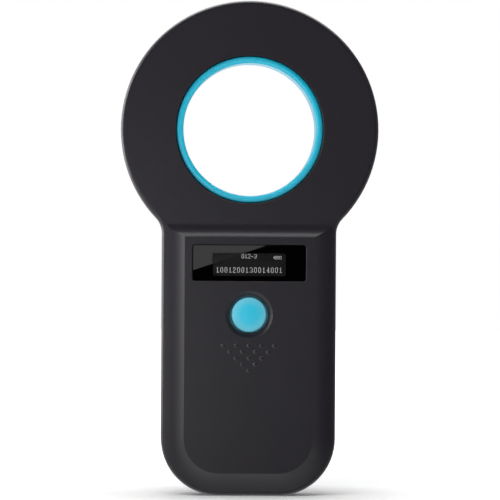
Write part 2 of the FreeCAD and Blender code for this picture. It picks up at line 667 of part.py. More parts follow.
def button_cap():
    """Round key cap: a domed top that runs into a soft rim, a hollow skirt and a socket for the plunger."""
    flat_r = 1.0
    shoulder = math.radians(CAP_CROWN_TILT)
    shoulder_r = CAP_R - CAP_RIM_R * (1 - math.sin(shoulder))
    dome_r = (shoulder_r - flat_r) / math.sin(shoulder)
    side_y = CAP_TOP_Y + dome_r * (1 - math.cos(shoulder)) + CAP_RIM_R * math.cos(shoulder)
    flange_y = CAP_SKIRT_Y - CAP_FLANGE_THICK

    def at(radius, y):
        return Vector(radius, y, 0)

    def on_dome(tilt):
        return at(flat_r + dome_r * math.sin(tilt), CAP_TOP_Y + dome_r * (1 - math.cos(tilt)))

    def on_rim(tilt):
        return at(CAP_R - CAP_RIM_R * (1 - math.sin(tilt)), side_y - CAP_RIM_R * math.cos(tilt))

    edges = [
        line(at(0, CAP_TOP_Y), at(flat_r, CAP_TOP_Y)),
        arc(at(flat_r, CAP_TOP_Y), on_dome(shoulder / 2), on_dome(shoulder)),
        arc(on_dome(shoulder), on_rim((shoulder + math.pi / 2) / 2), at(CAP_R, side_y)),
        line(at(CAP_R, side_y), at(CAP_R, flange_y)),
        line(at(CAP_R, flange_y), at(CAP_FLANGE_R, flange_y)),
        line(at(CAP_FLANGE_R, flange_y), at(CAP_FLANGE_R, CAP_SKIRT_Y)),
        line(at(CAP_FLANGE_R, CAP_SKIRT_Y), at(0, CAP_SKIRT_Y)),
        line(at(0, CAP_SKIRT_Y), at(0, CAP_TOP_Y)),
    ]
    cap = Part.Face(Part.Wire(edges)).revolve(Vector(0, 0, 0), Y_AXIS, 360)
    below = CAP_SKIRT_Y + 1
    hollow = turned([(3.4, PLUNGER_TOP_Y), (4.8, PLUNGER_TOP_Y), (4.8, below), (3.4, below)])
    socket = box(-STEM_HALF, STEM_HALF, PLUNGER_TOP_Y, below, -STEM_HALF, STEM_HALF)
    return moved(cap.cut([hollow, socket]), z=BUTTON_Z)


def switch_plunger():
    """Square stem on a round foot that rests on the snap dome."""
    foot = rod(0, BUTTON_Z, 3.3, SWITCH_TOP_Y + 0.3, WELL_FLOOR_Y - 0.6)
    stem = box(
        -STEM_HALF, STEM_HALF, PLUNGER_TOP_Y, WELL_FLOOR_Y - 1.0, BUTTON_Z - STEM_HALF, BUTTON_Z + STEM_HALF)
    return joined([foot, stem])


def switch_body():
    body = rounded_plate(2 * SWITCH_HALF, 2 * SWITCH_HALF, BUTTON_Z, 0.8, SWITCH_TOP_Y, PCB_FRONT_Y)
    well = rod(0, BUTTON_Z, WELL_R, SWITCH_TOP_Y - 1, WELL_FLOOR_Y)
    return body.cut(well)


def switch_cover():
    """Pressed metal plate that closes the switch round its stem."""
    plate = rounded_plate(11.4, 11.4, BUTTON_Z, 0.6, SWITCH_TOP_Y - 0.2, SWITCH_TOP_Y)
    return plate.cut(rod(0, BUTTON_Z, 2.85, SWITCH_TOP_Y - 1, SWITCH_TOP_Y + 1))


def switch_dome():
    """The snap disc whose click is the switch's spring."""
    radius, rise, gauge = 3.2, 0.5, 0.1
    ball_r = (radius ** 2 + rise ** 2) / (2 * rise)
    centre = Vector(0, WELL_FLOOR_Y - rise - 0.02 + ball_r, BUTTON_Z)
    disc = Part.makeSphere(ball_r, centre).cut(Part.makeSphere(ball_r - gauge, centre))
    return disc.common(rod(0, BUTTON_Z, radius, WELL_FLOOR_Y - 1, WELL_FLOOR_Y - 0.01))


def switch_leg_places():
    return [(sx * 6.3, BUTTON_Z + sz * 2.5) for sx in (-1, 1) for sz in (-1, 1)]


def switch_terminals():
    """Four formed legs, from the body's sides down through the board."""
    legs = []
    for x, z in switch_leg_places():
        side = 1 if x > 0 else -1
        x0, x1 = sorted((side * SWITCH_HALF, side * (SWITCH_HALF + 0.5)))
        legs.append(box(x0, x1, SWITCH_TOP_Y + 1.2, PCB_BACK_Y + 1.0, z - 0.45, z + 0.45))
    return group(legs)


# ---------------------------------------------------------------- circuit board and what is on it
def main_board():
    wire = grip_outline(PCB_HALF_W, PCB_LOW_Z, PCB_HIGH_Z, PCB_FOOT_R)
    board = prism(wire, PCB_FRONT_Y, PCB_BACK_Y)
    foot = screw_places()[1]
    cuts = [rod(x, z, POST_R + 0.4, -20, 20) for x, z in foot]
    cuts += [rod(x, z, 1.1, -20, 20) for x, z in board_screw_places()]
    cuts += [box(x - 0.4, x + 0.4, -20, 20, z - 0.6, z + 0.6) for x, z in switch_leg_places()]
    cuts += [rod(x, z, 0.35, -20, 20) for x, z in coil_pads() + battery_pins()]
    cuts.append(rod(0, PCB_HIGH_Z + 14.5, 16.5, -20, 20))
    return board.cut(cuts)


def coil_pads():
    return [(-17.5, 76.0), (-15.0, 76.0)]


def battery_pins():
    return [(15.0, 66.0), (17.0, 66.0)]


def chip(x, z, width, height, thick):
    """A moulded package on the board's back, with its top edges bevelled."""
    w, h = width / 2, height / 2
    body = box(x - w, x + w, PCB_BACK_Y + 0.1, PCB_BACK_Y + thick, z - h, z + h)
    return body.makeChamfer(0.15, edges_at(body, PCB_BACK_Y + thick))


def row_of_leads(x, z, count, pitch, reach, across):
    """Flat gull-wing leads on two opposite sides of a package."""
    half_w, length, gauge = 0.13, 0.9, 0.2
    leads = []
    for i in range(count):
        step = (i - (count - 1) / 2) * pitch
        for side in (-1, 1):
            near, far = sorted((side * reach, side * (reach + length)))
            spans = (near, far, step - half_w, step + half_w)
            x0, x1, z0, z1 = spans if across else spans[2:] + spans[:2]
            leads.append(box(x + x0, x + x1, PCB_BACK_Y, PCB_BACK_Y + gauge, z + z0, z + z1))
    return leads


MCU_X, MCU_Z, MCU_SIZE = 0.0, 46.0, 7.0
READER_X, READER_Z = -11.0, 68.0
MEMORY_X, MEMORY_Z = 12.0, 50.0


def microcontroller():
    return chip(MCU_X, MCU_Z, MCU_SIZE, MCU_SIZE, 1.5)


def reader_chip():
    return chip(READER_X, READER_Z, 3.9, 9.9, 1.6)


def memory_chip():
    return chip(MEMORY_X, MEMORY_Z, 3.9, 4.9, 1.6)


def charge_chip():
    return chip(-8.0, 14.0, 3.0, 3.0, 1.1)


def chip_leads():
    leads = row_of_leads(MCU_X, MCU_Z, 12, 0.5, MCU_SIZE / 2, True)
    leads += row_of_leads(MCU_X, MCU_Z, 12, 0.5, MCU_SIZE / 2, False)
    leads += row_of_leads(READER_X, READER_Z, 8, 1.2, 3.9 / 2, True)
    leads += row_of_leads(MEMORY_X, MEMORY_Z, 4, 1.2, 3.9 / 2, True)
    leads += row_of_leads(-8.0, 14.0, 3, 0.95, 3.0 / 2, True)
    return group(leads)


def crystal():
    can = rounded_plate(3.2, 2.5, 38.5, 0.3, PCB_BACK_Y, PCB_BACK_Y + 0.75, x_mid=6.5)
    return can.makeFillet(0.15, edges_at(can, PCB_BACK_Y + 0.75))


def power_inductor():
    core = rounded_plate(5.0, 5.0, 20.5, 1.0, PCB_BACK_Y, PCB_BACK_Y + 2.0, x_mid=9.0)
    return core.makeFillet(0.3, edges_at(core, PCB_BACK_Y + 2.0))


def small_parts(places, length, width, height):
    """Board-mounted blocks, all lying the same way."""
    return group([
        box(x - length / 2, x + length / 2, PCB_BACK_Y, PCB_BACK_Y + height, z - width / 2, z + width / 2)
        for x, z in places])


def chip_capacitors():
    places = [(-1.5 + 2.6 * i, 55.5) for i in range(3)] + [(-6.5, 40 + 2.2 * i) for i in range(4)]
    places += [(-16.0 + 2.6 * i, 60.5) for i in range(4)] + [(13.0, 11 + 2.2 * i) for i in range(3)]
    return small_parts(places, 1.6, 0.8, 0.8)


def chip_resistors():
    places = [(7.0, 42 + 1.8 * i) for i in range(5)] + [(-16.5, 40 + 1.8 * i) for i in range(5)]
    places += [(-12.5, 24 + 1.8 * i) for i in range(4)]
    return small_parts(places, 1.6, 0.8, 0.45)


def sounder():
    """Round magnetic sounder on the board's front, behind the raised dots."""
    y0 = PCB_FRONT_Y - 5.4
    can = rod(0, 40.0, 6.0, y0, PCB_FRONT_Y)
    can = can.makeFillet(0.5, edges_at(can, y0))
    return can.cut(rod(0, 40.0, 1.1, y0 - 1, y0 + 3))


def board_screws():
    """Four small pan-head screws that hold the board to its posts."""
    screws = []
    for x, z in board_screw_places():
        head = rod(x, z, 1.75, PCB_BACK_Y, PCB_BACK_Y + 1.1)
        head = head.makeFillet(0.4, edges_at(head, PCB_BACK_Y + 1.1))
        shank = rod(x, z, 0.8, PCB_FRONT_Y - 3.0, PCB_BACK_Y)
        screws.append(joined([head, shank]).cut(cross_recess(x, z, PCB_BACK_Y + 1.1, 1.8, 0.5)))
    return group(screws)


def cross_recess(x, z, y_top, length, width):
    """A cross-shaped drive, cut from a head whose top is at that depth."""
    deep = 0.7
    slots = []
    for a, b in ((length, width), (width, length)):
        slots.append(box(x - a / 2, x + a / 2, y_top - deep, y_top + 1, z - b / 2, z + b / 2))
    cone = Part.makeCone(0.1, width * 0.95, deep, Vector(x, y_top - deep, z), Y_AXIS)
    return joined(slots + [cone])


def case_screws():
    """Six pan-head screws: four round the head, two at the foot."""
    head = rod(0, 0, SCREW_HEAD_R, SCREW_SEAT_Y, SCREW_SEAT_Y + SCREW_HEAD_H)
    head = head.makeFillet(0.55, edges_at(head, SCREW_SEAT_Y + SCREW_HEAD_H))
    profile = [(0, SCREW_SEAT_Y + 0.5), (SCREW_ROOT_R, SCREW_SEAT_Y + 0.5)]
    for turn in range(SCREW_TURNS):
        y = SCREW_SEAT_Y - 0.5 - turn * SCREW_PITCH
        profile += [(SCREW_ROOT_R, y), (SCREW_R, y - 0.22), (SCREW_R, y - 0.3), (SCREW_ROOT_R, y - 0.6)]
    profile.append((0, y - 0.6))
    screw = joined([head, turned(profile)])
    screw = screw.cut(cross_recess(0, 0, SCREW_SEAT_Y + SCREW_HEAD_H, 2.7, 0.7))
    at_head, at_foot = screw_places()
    return group([moved(screw, x=x, z=z) for x, z in at_head + at_foot])


# ---------------------------------------------------------------- charging socket
def socket_mouth(grow):
    """The socket's section: a flat oblong whose lower corners, towards the board, are cut off."""
    w, h = USB_W / 2 + grow, USB_H / 2 + grow
    mid_y = PCB_BACK_Y + USB_H / 2
    cut = 0.8 + grow * (2 - math.sqrt(2))
    points = [(-w + cut, -h), (w - cut, -h), (w, -h + cut), (w, h), (-w, h), (-w, -h + cut)]
    return [Vector(x, mid_y + y, 0) for x, y in points]


def usb_shell():
    """Folded steel shell of the charging socket, closed at the back."""
    outer = socket_mouth(0.0)
    inner = [p - Z_AXIS for p in socket_mouth(-USB_SHELL)]
    can = Part.Face(Part.makePolygon(outer + [outer[0]])).extrude(Z_AXIS * USB_DEPTH)
    room = Part.Face(Part.makePolygon(inner + [inner[0]])).extrude(Z_AXIS * (USB_DEPTH + 1 - USB_BACK))
    return moved(can.cut(room), z=USB_Z)


def usb_tongue():
    """The insulator block and the contact tongue inside the shell."""
    mid_y = PCB_BACK_Y + USB_H / 2
    back_z = USB_Z + USB_DEPTH - USB_BACK
    inner = socket_mouth(-USB_SHELL - 0.02)
    block = Part.Face(Part.makePolygon(inner + [inner[0]])).extrude(Vector(0, 0, 1.2))
    block.translate(Vector(0, 0, back_z - 1.2))
    tongue = box(-1.95, 1.95, mid_y + 0.15, mid_y + 0.75, USB_Z + 0.7, back_z - 1.0)
    return joined([block, tongue])


def usb_contacts():
    """Five gold fingers on the tongue."""
    mid_y = PCB_BACK_Y + USB_H / 2
    return group([
        box(x - 0.16, x + 0.16, mid_y + 0.05, mid_y + 0.15, USB_Z + 0.9, USB_Z + USB_DEPTH - 1.7)
        for x in (-1.3, -0.65, 0.0, 0.65, 1.3)])


# ---------------------------------------------------------------- antenna
def coil_former():
    """Moulded bobbin: a channel open outwards, with two cheeks."""
    lo, hi = SPLIT_Y - COIL_FORMER_HALF, SPLIT_Y + COIL_FORMER_HALF
    r0, r1, r2 = COIL_FORMER_IN_R, COIL_IN_R, COIL_FORMER_OUT_R
    bobbin = turned([
        (r0, lo), (r2, lo), (r2, lo + COIL_CHEEK), (r1, lo + COIL_CHEEK),
        (r1, hi - COIL_CHEEK), (r2, hi - COIL_CHEEK), (r2, hi), (r0, hi)])
    return moved(bobbin, z=HEAD_Z)


def antenna_coil():
    """The wound copper, as one ring whose outside shows its layers of wire."""
    lo = SPLIT_Y - COIL_FORMER_HALF + COIL_CHEEK + 0.05
    hi = SPLIT_Y + COIL_FORMER_HALF - COIL_CHEEK - 0.05
    crests = 10
    pitch = (hi - lo) / crests
    points = [(COIL_IN_R + 0.03, hi), (COIL_IN_R + 0.03, lo)]
    for i in range(crests):
        y = lo + i * pitch
        points += [(COIL_OUT_R - 0.2, y + 0.06), (COIL_OUT_R, y + pitch * 0.35),
                   (COIL_OUT_R, y + pitch * 0.65), (COIL_OUT_R - 0.2, y + pitch - 0.06)]
    return moved(turned(points), z=HEAD_Z)


def coil_leads():
    """The winding's two ends, led over the neck to the board."""
    leads = []
    for (pad_x, pad_z), leave in zip(coil_pads(), (229.0, 233.0)):
        angle = math.radians(leave)
        r = COIL_OUT_R + 0.35
        start = Vector(r * math.cos(angle), SPLIT_Y + 0.4, HEAD_Z + r * math.sin(angle))
        leads.append(bent_wire([
            start,
            start + Vector(-1.1, 0.4, -4.0),
            Vector(pad_x, PCB_BACK_Y + 2.0, pad_z + 6.0),
            Vector(pad_x, PCB_BACK_Y + 2.3, pad_z + 1.6),
            Vector(pad_x, PCB_BACK_Y + 0.2, pad_z),
        ], 0.25))
    return group(leads)


# ---------------------------------------------------------------- battery
BATTERY_BACK_Y = BACK_FLOOR_Y - TAPE_THICK
BATTERY_FRONT_Y = BATTERY_BACK_Y - BATTERY_THICK


def battery_pouch():
    height = BATTERY_HIGH_Z - BATTERY_LOW_Z
    pouch = rounded_plate(
        2 * BATTERY_HALF_W, height, BATTERY_LOW_Z + height / 2, 1.5, BATTERY_FRONT_Y, BATTERY_BACK_Y)
    return pouch.makeFillet(1.2, edges_at(pouch, BATTERY_FRONT_Y) + edges_at(pouch, BATTERY_BACK_Y))


def battery_board():
    """The protection board folded along the pouch's top edge."""
    mid_y = (BATTERY_FRONT_Y + BATTERY_BACK_Y) / 2
    return box(-14, 14, mid_y - 1.6, mid_y + 1.6, BATTERY_HIGH_Z + 0.02, BATTERY_HIGH_Z + 1.4)


def battery_tape():
    return group([
        rounded_plate(24, 12, z, 0.5, BATTERY_BACK_Y, BACK_FLOOR_Y) for z in (30.0, 50.0)])


def battery_header():
    """Two-pin socket on the board, open upwards, away from the grip's foot."""
    body = box(12.6, 19.4, PCB_BACK_Y, PCB_BACK_Y + 4.6, 62.0, 67.6)
    return body.cut(box(13.4, 18.6, PCB_BACK_Y + 0.8, PCB_BACK_Y + 3.9, 63.2, 70))


def battery_plug():
    return box(13.5, 18.5, PCB_BACK_Y + 0.9, PCB_BACK_Y + 3.8, 63.3, 68.6)


def battery_lead(pin_x, start_x):
    """From the protection board up, over and down into the plug."""
    mid_y = (BATTERY_FRONT_Y + BATTERY_BACK_Y) / 2
    plug_y = PCB_BACK_Y + 2.35
    top = BATTERY_HIGH_Z + 1.4
    return bent_wire([
        Vector(start_x, mid_y, top),
        Vector(start_x, mid_y, top + 5.0),
        Vector(pin_x - 1.2, mid_y - 2.4, top + 8.2),
        Vector(pin_x, plug_y, top + 7.4),
        Vector(pin_x, plug_y, 68.6),
    ], 0.55)


def battery_lead_red():
    return battery_lead(17.0, 10.5)


def battery_lead_black():
    return battery_lead(15.0, 7.5)


def rear_label():
    """Rating label, stuck in its recess."""
    return rounded_plate(
        LABEL_W - 0.4, LABEL_H - 0.4, LABEL_Z, 1.8, BACK_Y - LABEL_DEPTH, BACK_Y - LABEL_DEPTH + LABEL_THICK)


# ---------------------------------------------------------------- output
PARTS = [
    front_shell, rear_shell, ring_liner,
    display_lens, display_mask, oled_panel, oled_ribbon, display_holder,
    button_cap, switch_plunger, switch_body, switch_cover, switch_dome, switch_terminals,
    main_board, microcontroller, reader_chip, memory_chip, charge_chip, chip_leads, crystal,
    power_inductor, chip_capacitors, chip_resistors, sounder, board_screws, case_screws,
    usb_shell, usb_tongue, usb_contacts,
    coil_former, antenna_coil, coil_leads,
    battery_pouch, battery_board, battery_tape, battery_header, battery_plug,
    battery_lead_red, battery_lead_black, rear_label,
]


def main():
    os.makedirs("parts", exist_ok=True)
    for make in PARTS:
        shape = make()
        if not shape.isValid() or not shape.Solids:
            raise ValueError(f"{make.__name__} is not a valid solid")
        shape.exportStep(os.path.join("parts", make.__name__ + ".step"))
        print(f"{make.__name__}: {len(shape.Solids)} solids, {shape.Volume / 1000:.3f} cm3")


main()
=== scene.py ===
"""Looks for the handheld microchip scanner: materials, the lit display, printing, and a white studio.

Metres, in the CAD model's own frame: Z up, the display faces -Y, and the scanner stands on z = 0.
"""
import json
import math

import bmesh
import bpy
from mathutils import Matrix, Vector


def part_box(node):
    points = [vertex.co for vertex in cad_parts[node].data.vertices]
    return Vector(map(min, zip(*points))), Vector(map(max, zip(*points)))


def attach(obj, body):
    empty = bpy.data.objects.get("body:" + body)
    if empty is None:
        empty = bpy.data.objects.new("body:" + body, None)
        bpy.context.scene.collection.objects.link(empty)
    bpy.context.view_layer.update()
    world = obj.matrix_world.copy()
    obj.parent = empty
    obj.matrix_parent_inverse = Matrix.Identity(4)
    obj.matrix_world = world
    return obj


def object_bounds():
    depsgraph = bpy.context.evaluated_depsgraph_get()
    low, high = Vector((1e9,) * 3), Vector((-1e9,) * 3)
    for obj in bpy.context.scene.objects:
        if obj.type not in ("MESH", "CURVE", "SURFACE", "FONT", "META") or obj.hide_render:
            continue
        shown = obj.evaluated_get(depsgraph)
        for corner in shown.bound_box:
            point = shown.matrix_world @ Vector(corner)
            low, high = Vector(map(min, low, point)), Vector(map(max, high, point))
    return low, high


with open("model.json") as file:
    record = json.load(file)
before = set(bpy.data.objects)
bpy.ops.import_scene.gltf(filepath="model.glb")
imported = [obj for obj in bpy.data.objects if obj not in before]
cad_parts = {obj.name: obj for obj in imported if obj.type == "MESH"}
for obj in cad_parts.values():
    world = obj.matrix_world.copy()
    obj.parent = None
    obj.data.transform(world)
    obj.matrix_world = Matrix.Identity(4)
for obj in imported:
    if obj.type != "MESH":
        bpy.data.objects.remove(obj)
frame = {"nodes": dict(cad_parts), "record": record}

CAD_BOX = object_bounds()
MM = 0.001
SCENE = bpy.context.scene

# ------------------------------------------------------------------ driving values
# camera
CAMERA_DISTANCE = 1.50       # from the foremost point, the top of the key cap
CAMERA_AZIMUTH = -1.45       # degrees, to the scanner's left
CAMERA_HEIGHT = 78.6 * MM
CAMERA_AIM_X = 0.18 * MM
CAMERA_ROLL = 0.35           # degrees
VIEW_SPAN = 159.4 * MM       # width of the picture at that distance

# floor
FLOOR_HALF_W = 3.0
FLOOR_HALF_D = 2.0
FLOOR_FRONT = 0.9            # how far it comes forward of the scanner
PAINTED_SHADOW_FROM_TO = (0.01, 0.07)     # distances from the scanner over which this glow fades out: a painted shadow round its foot
PAINTED_SHADOW_GLOW = 0.5
FAR_GLOW_FROM_TO = (0.15, 0.60)
FAR_GLOW = 0.7

# lamps
LAMP_AIM = (0, 0, 0.08)              # the scanner's middle
LEFT_PLACE = (-0.24, 0.0, 0.16)
LEFT_SIZE = (0.22, 0.26)
LEFT_RADIANCE = 6.0
TOP_PLACE = (0.0, 0.12, 0.55)
TOP_SIZE = (0.7, 0.5)
TOP_RADIANCE = 6.0
NEAR_PLACE = (-0.10, -0.30, 0.03)    # a small one close by, for sheen only
NEAR_SIZE = (0.10, 0.10)
NEAR_RADIANCE = 4.2
FILL_PLACE = (-0.2, -0.9, 0.95)      # a large one in front, for matt light only
FILL_SIZE = (0.9, 0.9)
FILL_RADIANCE = 4.0
SHEEN = 2.3                          # the card whose reflection slants across the lens
CARD_WIDTH = 0.30
CARD_HEIGHT = 0.12
CARD_ALONG = 0.02                    # its middle, along its edge from the first point's mirror place
CARD_BEHIND = 0.01                   # how far it stands behind the camera
SHEEN_EDGE = ((-17.7 * MM, 72.1 * MM), (5.7 * MM, 80.1 * MM))    # two points on the lens, (x, z)

# world: each fade is a span of the looking direction's x, y or z
FRONT_FADE = (-0.74, -0.42)          # y: dark towards the camera
BACK_FADE = (0.35, 0.93)             # y: white behind the scanner
SIDE_FADE = (-0.3, 0.6)              # x: from LEFT_WORLD to RIGHT_WORLD
ABOVE_FADE = (0.2, 0.9)              # z: down to ABOVE_WORLD
BELOW_FADE = (-0.3, 0.0)             # z: from BELOW_WORLD
LOW_FADE = (-0.55, -0.15)            # z: from LOW_WORLD, also towards the camera
LEFT_WORLD = 0.8
RIGHT_WORLD = 0.40
ABOVE_WORLD = 0.15
BELOW_WORLD = 2.0
LOW_WORLD = 0.85

# lens, cap, ring and display
CLEAR_HALF_W = 12.0 * MM     # the lens's window, a little larger than the opening in the mask
CLEAR_HALF_H = 4.0 * MM
CLEAR_MID_Z = 73.9 * MM
CAP_PAINTED_SHEEN_FROM_TO = (2.6 * MM, 5.2 * MM)     # distances from the button's axis over which a painted sheen whitens the cap
RING_PAINTED_GLOW_FROM_TO = (22.0 * MM, 23.5 * MM)   # distances from the ring's axis: painted glow inside, painted shade outside
PIXEL_PITCH = 0.168 * MM     # display pixels
PIXEL_SIZE = 0.125 * MM
PIXEL_RISE = 0.004 * MM
BIG_TEXT_Z = 72.2 * MM
SMALL_TEXT_Z = 76.6 * MM
BATTERY_Z = 76.2 * MM
BATTERY_X = 9.05 * MM

# printing
INK = 0.01 * MM              # its thickness
LABEL_MARGIN = 1.4 * MM
LABEL_LINE = 0.20 * MM
LABEL_PRINT_W = 25.0 * MM
LABEL_RULES = (14.0 * MM, 10.5 * MM, 7.0 * MM, 3.5 * MM)
LABEL_BARS = 24
LABEL_BARS_Z = -9.0 * MM
LABEL_BARS_H = 7.0 * MM
BAR_STEP = 0.26 * MM
LABEL_PIXEL = 0.30 * MM
LABEL_DIGITS_Z = -13.0 * MM
PRINTED_ROUND = (
    "microcontroller", "reader_chip", "memory_chip", "charge_chip", "crystal", "power_inductor")
MARK_GAP = 0.35 * MM
MARK_ARM = 0.9 * MM
MARK_LINE = 0.15 * MM


# ------------------------------------------------------------------ node helpers
class Nodes:
    """A material's node tree with short ways to add what the materials share."""

    def __init__(self, name):
        self.material = bpy.data.materials.new(name)
        self.material.use_nodes = True
        self.tree = self.material.node_tree
        self.bsdf = self.tree.nodes["Principled BSDF"]
        self.output = self.tree.nodes["Material Output"]
        self.place = self.add("ShaderNodeTexCoord").outputs["Object"]

    def add(self, kind, **values):
        node = self.tree.nodes.new(kind)
        for key, value in values.items():
            setattr(node, key, value)
        return node

    def link(self, source, target):
        self.tree.links.new(source, target)

    def noise(self, scale, detail=2.0, rough=0.5, stretch=None):
        """A noise of that many cells per metre, optionally stretched along the axes."""
        node = self.add("ShaderNodeTexNoise")
        node.inputs["Scale"].default_value = scale
        node.inputs["Detail"].default_value = detail
        node.inputs["Roughness"].default_value = rough
        if stretch is None:
            self.link(self.place, node.inputs["Vector"])
        else:
            mapping = self.add("ShaderNodeMapping")
            mapping.inputs["Scale"].default_value = stretch
            self.link(self.place, mapping.inputs["Vector"])
            self.link(mapping.outputs["Vector"], node.inputs["Vector"])
        return node.outputs["Fac"]

    def ramp(self, source, low, high, first, last):
        """first where source is under low, last where it is over high, and between them a blend."""
        node = self.add("ShaderNodeMapRange", clamp=True)
        for key, value in zip(("From Min", "From Max", "To Min", "To Max"), (low, high, first, last)):
            node.inputs[key].default_value = value
        self.link(source, node.inputs["Value"])
        return node.outputs["Result"]

    def blend(self, factor, first, last):
        """A colour between two, by a factor."""
        node = self.add("ShaderNodeMix", data_type="RGBA")
        node.inputs["A"].default_value = (*first, 1)
        node.inputs["B"].default_value = (*last, 1)
        self.link(factor, node.inputs["Factor"])
        return node.outputs["Result"]

    def bump(self, height, depth, strength=1.0, under=None):
        """Relief of that depth in metres, on top of another bump."""
        node = self.add("ShaderNodeBump")
        node.inputs["Distance"].default_value = depth
        node.inputs["Strength"].default_value = strength
        self.link(height, node.inputs["Height"])
        if under is not None:
            self.link(under, node.inputs["Normal"])
        return node.outputs["Normal"]

    def set(self, **values):
        """Constant sockets of the surface shader, by name with underscores."""
        for key, value in values.items():
            self.bsdf.inputs[key.replace("_", " ")].default_value = value

    def surface(self, colour, roughness, normal=None):
        """Links the surface shader's colour, roughness and normal."""
        self.link(colour, self.bsdf.inputs["Base Color"])
        self.link(roughness, self.bsdf.inputs["Roughness"])
        if normal is not None:
            self.link(normal, self.bsdf.inputs["Normal"])


def scaled(colour, factor):
    return tuple(min(1.0, c * factor) for c in colour)


# ------------------------------------------------------------------ materials
def moulded(name, colour, roughness, grain=2.5e3, depth=3e-6, vary=0.08):
    """Moulded plastic, film or ink: a fine grain, and slight unevenness of colour and gloss."""
    n = Nodes(name)
    cloud = n.noise(40.0, detail=3.0)
    fine = n.noise(grain, detail=3.0, rough=0.6)
    broad = n.noise(90.0, detail=1.0)
    tone = n.blend(cloud, scaled(colour, 1 - vary), scaled(colour, 1 + vary))
    gloss = n.ramp(fine, 0.3, 0.7, roughness - 0.04, roughness + 0.04)
    n.surface(tone, gloss, n.bump(fine, depth, under=n.bump(broad, 4e-6)))
    return n.material


def radial_painted_light(name, node, from_to, inner, outer, roughness):
    """Tinted plastic of a round piece whose colour changes away from the piece's axis: painted light and
    shade, set by the distance from the axis.
    """
    n = Nodes(name)
    low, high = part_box(node)
    axis = (low + high) / 2
    mapping = n.add("ShaderNodeMapping")
    mapping.inputs["Location"].default_value = (-axis.x, 0, -axis.z)
    mapping.inputs["Scale"].default_value = (1, 0, 1)
    n.link(n.place, mapping.inputs["Vector"])
    radius = n.add("ShaderNodeVectorMath", operation="LENGTH")
    n.link(mapping.outputs["Vector"], radius.inputs[0])
    cloud = n.noise(500.0, detail=3.0)
    # painted light and shade: the inner colour near the axis, the outer colour away from it
    tone = n.add("ShaderNodeMix", data_type="RGBA")
    n.link(n.ramp(radius.outputs["Value"], *from_to, 0.0, 1.0), tone.inputs["Factor"])
    for socket, colour in (("A", inner), ("B", outer)):
        n.link(n.blend(cloud, scaled(colour, 0.97), scaled(colour, 1.03)), tone.inputs[socket])
    fine = n.noise(1500.0, detail=3.0)
    gloss = n.ramp(fine, 0.3, 0.7, roughness - 0.04, roughness + 0.04)
    n.surface(tone.outputs["Result"], gloss, n.bump(fine, 1e-6))
    return n.material


def ring_blue(name):
    """The liner is painted paler towards its bore, a painted glow of the bright backdrop behind it, and
    deeper outwards, painted shade where its rounded outer edge turns away.
    """
    painted_bore_glow, painted_rim_shade = (0.008, 0.445, 0.615), (0.003, 0.220, 0.330)
    return radial_painted_light(name, "ring_liner", RING_PAINTED_GLOW_FROM_TO, painted_bore_glow, painted_rim_shade, 0.32)


def cap_blue(name):
    """The cap is saturated blue in the middle and paler towards its rim: a painted sheen where the domed
    rim faces the bright surroundings.
    """
    clear, painted_rim_sheen = (0.014, 0.490, 0.690), (0.120, 0.520, 0.660)
    return radial_painted_light(name, "button_cap", CAP_PAINTED_SHEEN_FROM_TO, clear, painted_rim_sheen, 0.46)


def metal(name, colour, roughness, grain=(1.0, 1.0, 1.0), scale=3000.0):
    """Worked metal with fine drawn or rolled marks."""
    n = Nodes(name)
    marks = n.noise(scale, detail=4.0, stretch=grain)
    tarnish = n.noise(300.0, detail=3.0)
    tone = n.blend(tarnish, scaled(colour, 0.86), scaled(colour, 1.05))
    gloss = n.ramp(marks, 0.3, 0.7, roughness - 0.08, roughness + 0.1)
    n.surface(tone, gloss, n.bump(marks, 2e-6))
    n.set(Metallic=1.0)
    return n.material


def ink_nodes(name):
    """Gloss black ink: a mirror-flat film with a hint of unevenness."""
    n = Nodes(name)
    cloud = n.noise(900.0, detail=3.0)
    tone = n.blend(cloud, (0.0004, 0.0004, 0.0004), (0.0009, 0.0009, 0.0010))
    n.surface(tone, n.ramp(cloud, 0.3, 0.7, 0.003, 0.006))
    n.set(Specular_IOR_Level=0.24)
    return n


def printed_ink(name):
    return ink_nodes(name).material


def lens_material(name):
    """The lens: clear with faint wipe marks over the display, and black from its backing ink elsewhere."""
    n = ink_nodes(name)
    wipe = n.noise(500.0, detail=3.0, stretch=(0.3, 1.0, 1.0))
    marks = n.ramp(wipe, 0.35, 0.75, 0.0, 1.0)
    clear = n.add("ShaderNodeBsdfTransparent")
    n.link(n.blend(marks, (0.975, 0.975, 0.98), (0.94, 0.94, 0.95)), clear.inputs["Color"])
    split = n.add("ShaderNodeSeparateXYZ")
    n.link(n.place, split.inputs[0])
    window = n.add("ShaderNodeMath", operation="MULTIPLY")
    spans = ("X", 0.0, CLEAR_HALF_W), ("Z", CLEAR_MID_Z, CLEAR_HALF_H)
    for target, (axis, middle, half) in zip(window.inputs, spans):
        within = n.add("ShaderNodeMath", operation="COMPARE")
        n.link(split.outputs[axis], within.inputs[0])
        within.inputs[1].default_value = middle
        within.inputs[2].default_value = half
        n.link(within.outputs[0], target)
    mix = n.add("ShaderNodeMixShader")
    n.link(window.outputs[0], mix.inputs[0])
    n.link(n.bsdf.outputs["BSDF"], mix.inputs[1])
    n.link(clear.outputs["BSDF"], mix.inputs[2])
    n.link(mix.outputs["Shader"], n.output.inputs["Surface"])
    return n.material


